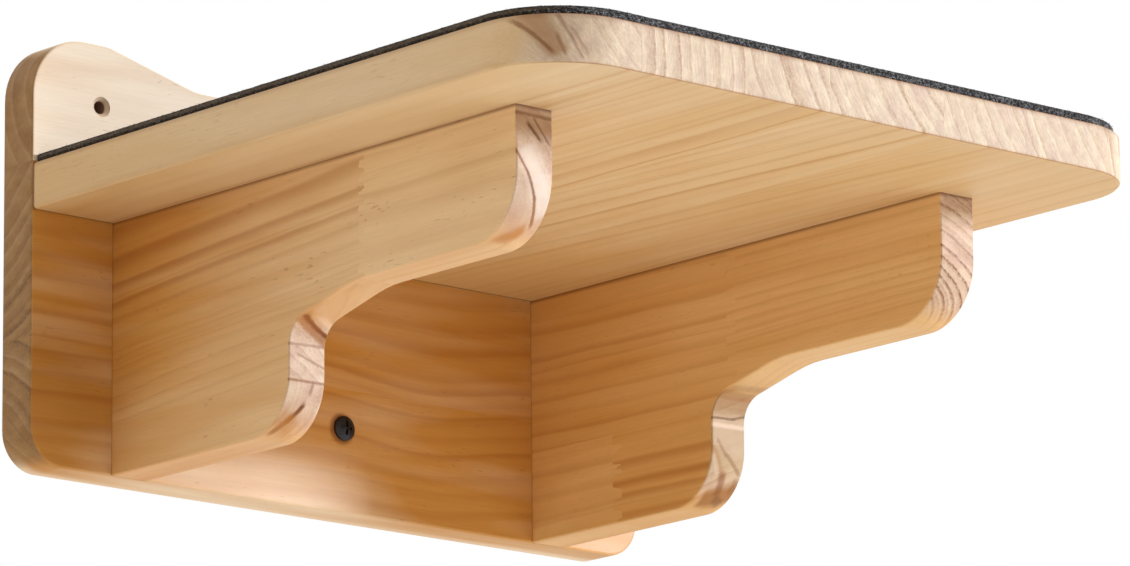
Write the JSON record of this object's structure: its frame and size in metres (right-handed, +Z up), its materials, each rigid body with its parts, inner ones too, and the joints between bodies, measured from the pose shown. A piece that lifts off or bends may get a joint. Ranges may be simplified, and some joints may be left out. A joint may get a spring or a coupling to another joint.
{
  "type": "cat wall step",
  "caption": "Wall-mounted wooden cat step: a felt-topped shelf on two scrolled brackets, joined to an eared back board with wall fixing holes.",
  "frame": {"origin": "on the rear face of the back board, on the line of symmetry, level with the underside of the shelf", "axes": "+X to the right as seen from the room, +Y towards the wall, +Z up"},
  "size_m": [0.301, 0.311, 0.1655],
  "materials": {
    "pine_board": "clear matt lacquer on finger-jointed pine, grain along the width",
    "pine_shelf": "clear matt lacquer on edge-glued pine, grain along the depth",
    "pine_bracket": "clear matt lacquer on finger-jointed pine, grain along the depth",
    "felt": "needle felt, dark grey with light flecks",
    "adhesive_film": "double-sided film, hidden",
    "black_steel": "black oxide, satin",
    "zinc_steel": "bright zinc plate",
    "beech_dowel": "raw beech, hidden"
  },
  "bodies": {
    "root": {"back_board": "pine_board", "shelf_board": "pine_shelf", "bracket_left": "pine_bracket", "bracket_right": "pine_bracket", "felt_pad": "felt", "pad_adhesive": "adhesive_film", "wall_screw": "black_steel", "shelf_screw_left": "zinc_steel", "shelf_screw_middle": "zinc_steel", "shelf_screw_right": "zinc_steel", "bracket_left_rear_screw_upper": "zinc_steel", "bracket_left_rear_screw_lower": "zinc_steel", "bracket_right_rear_screw_upper": "zinc_steel", "bracket_right_rear_screw_lower": "zinc_steel", "bracket_left_top_screw_near": "zinc_steel", "bracket_left_top_screw_far": "zinc_steel", "bracket_right_top_screw_near": "zinc_steel", "bracket_right_top_screw_far": "zinc_steel", "shelf_dowel_left": "beech_dowel", "shelf_dowel_right": "beech_dowel", "bracket_left_dowel": "beech_dowel", "bracket_right_dowel": "beech_dowel"}
  },
  "joints": []
}
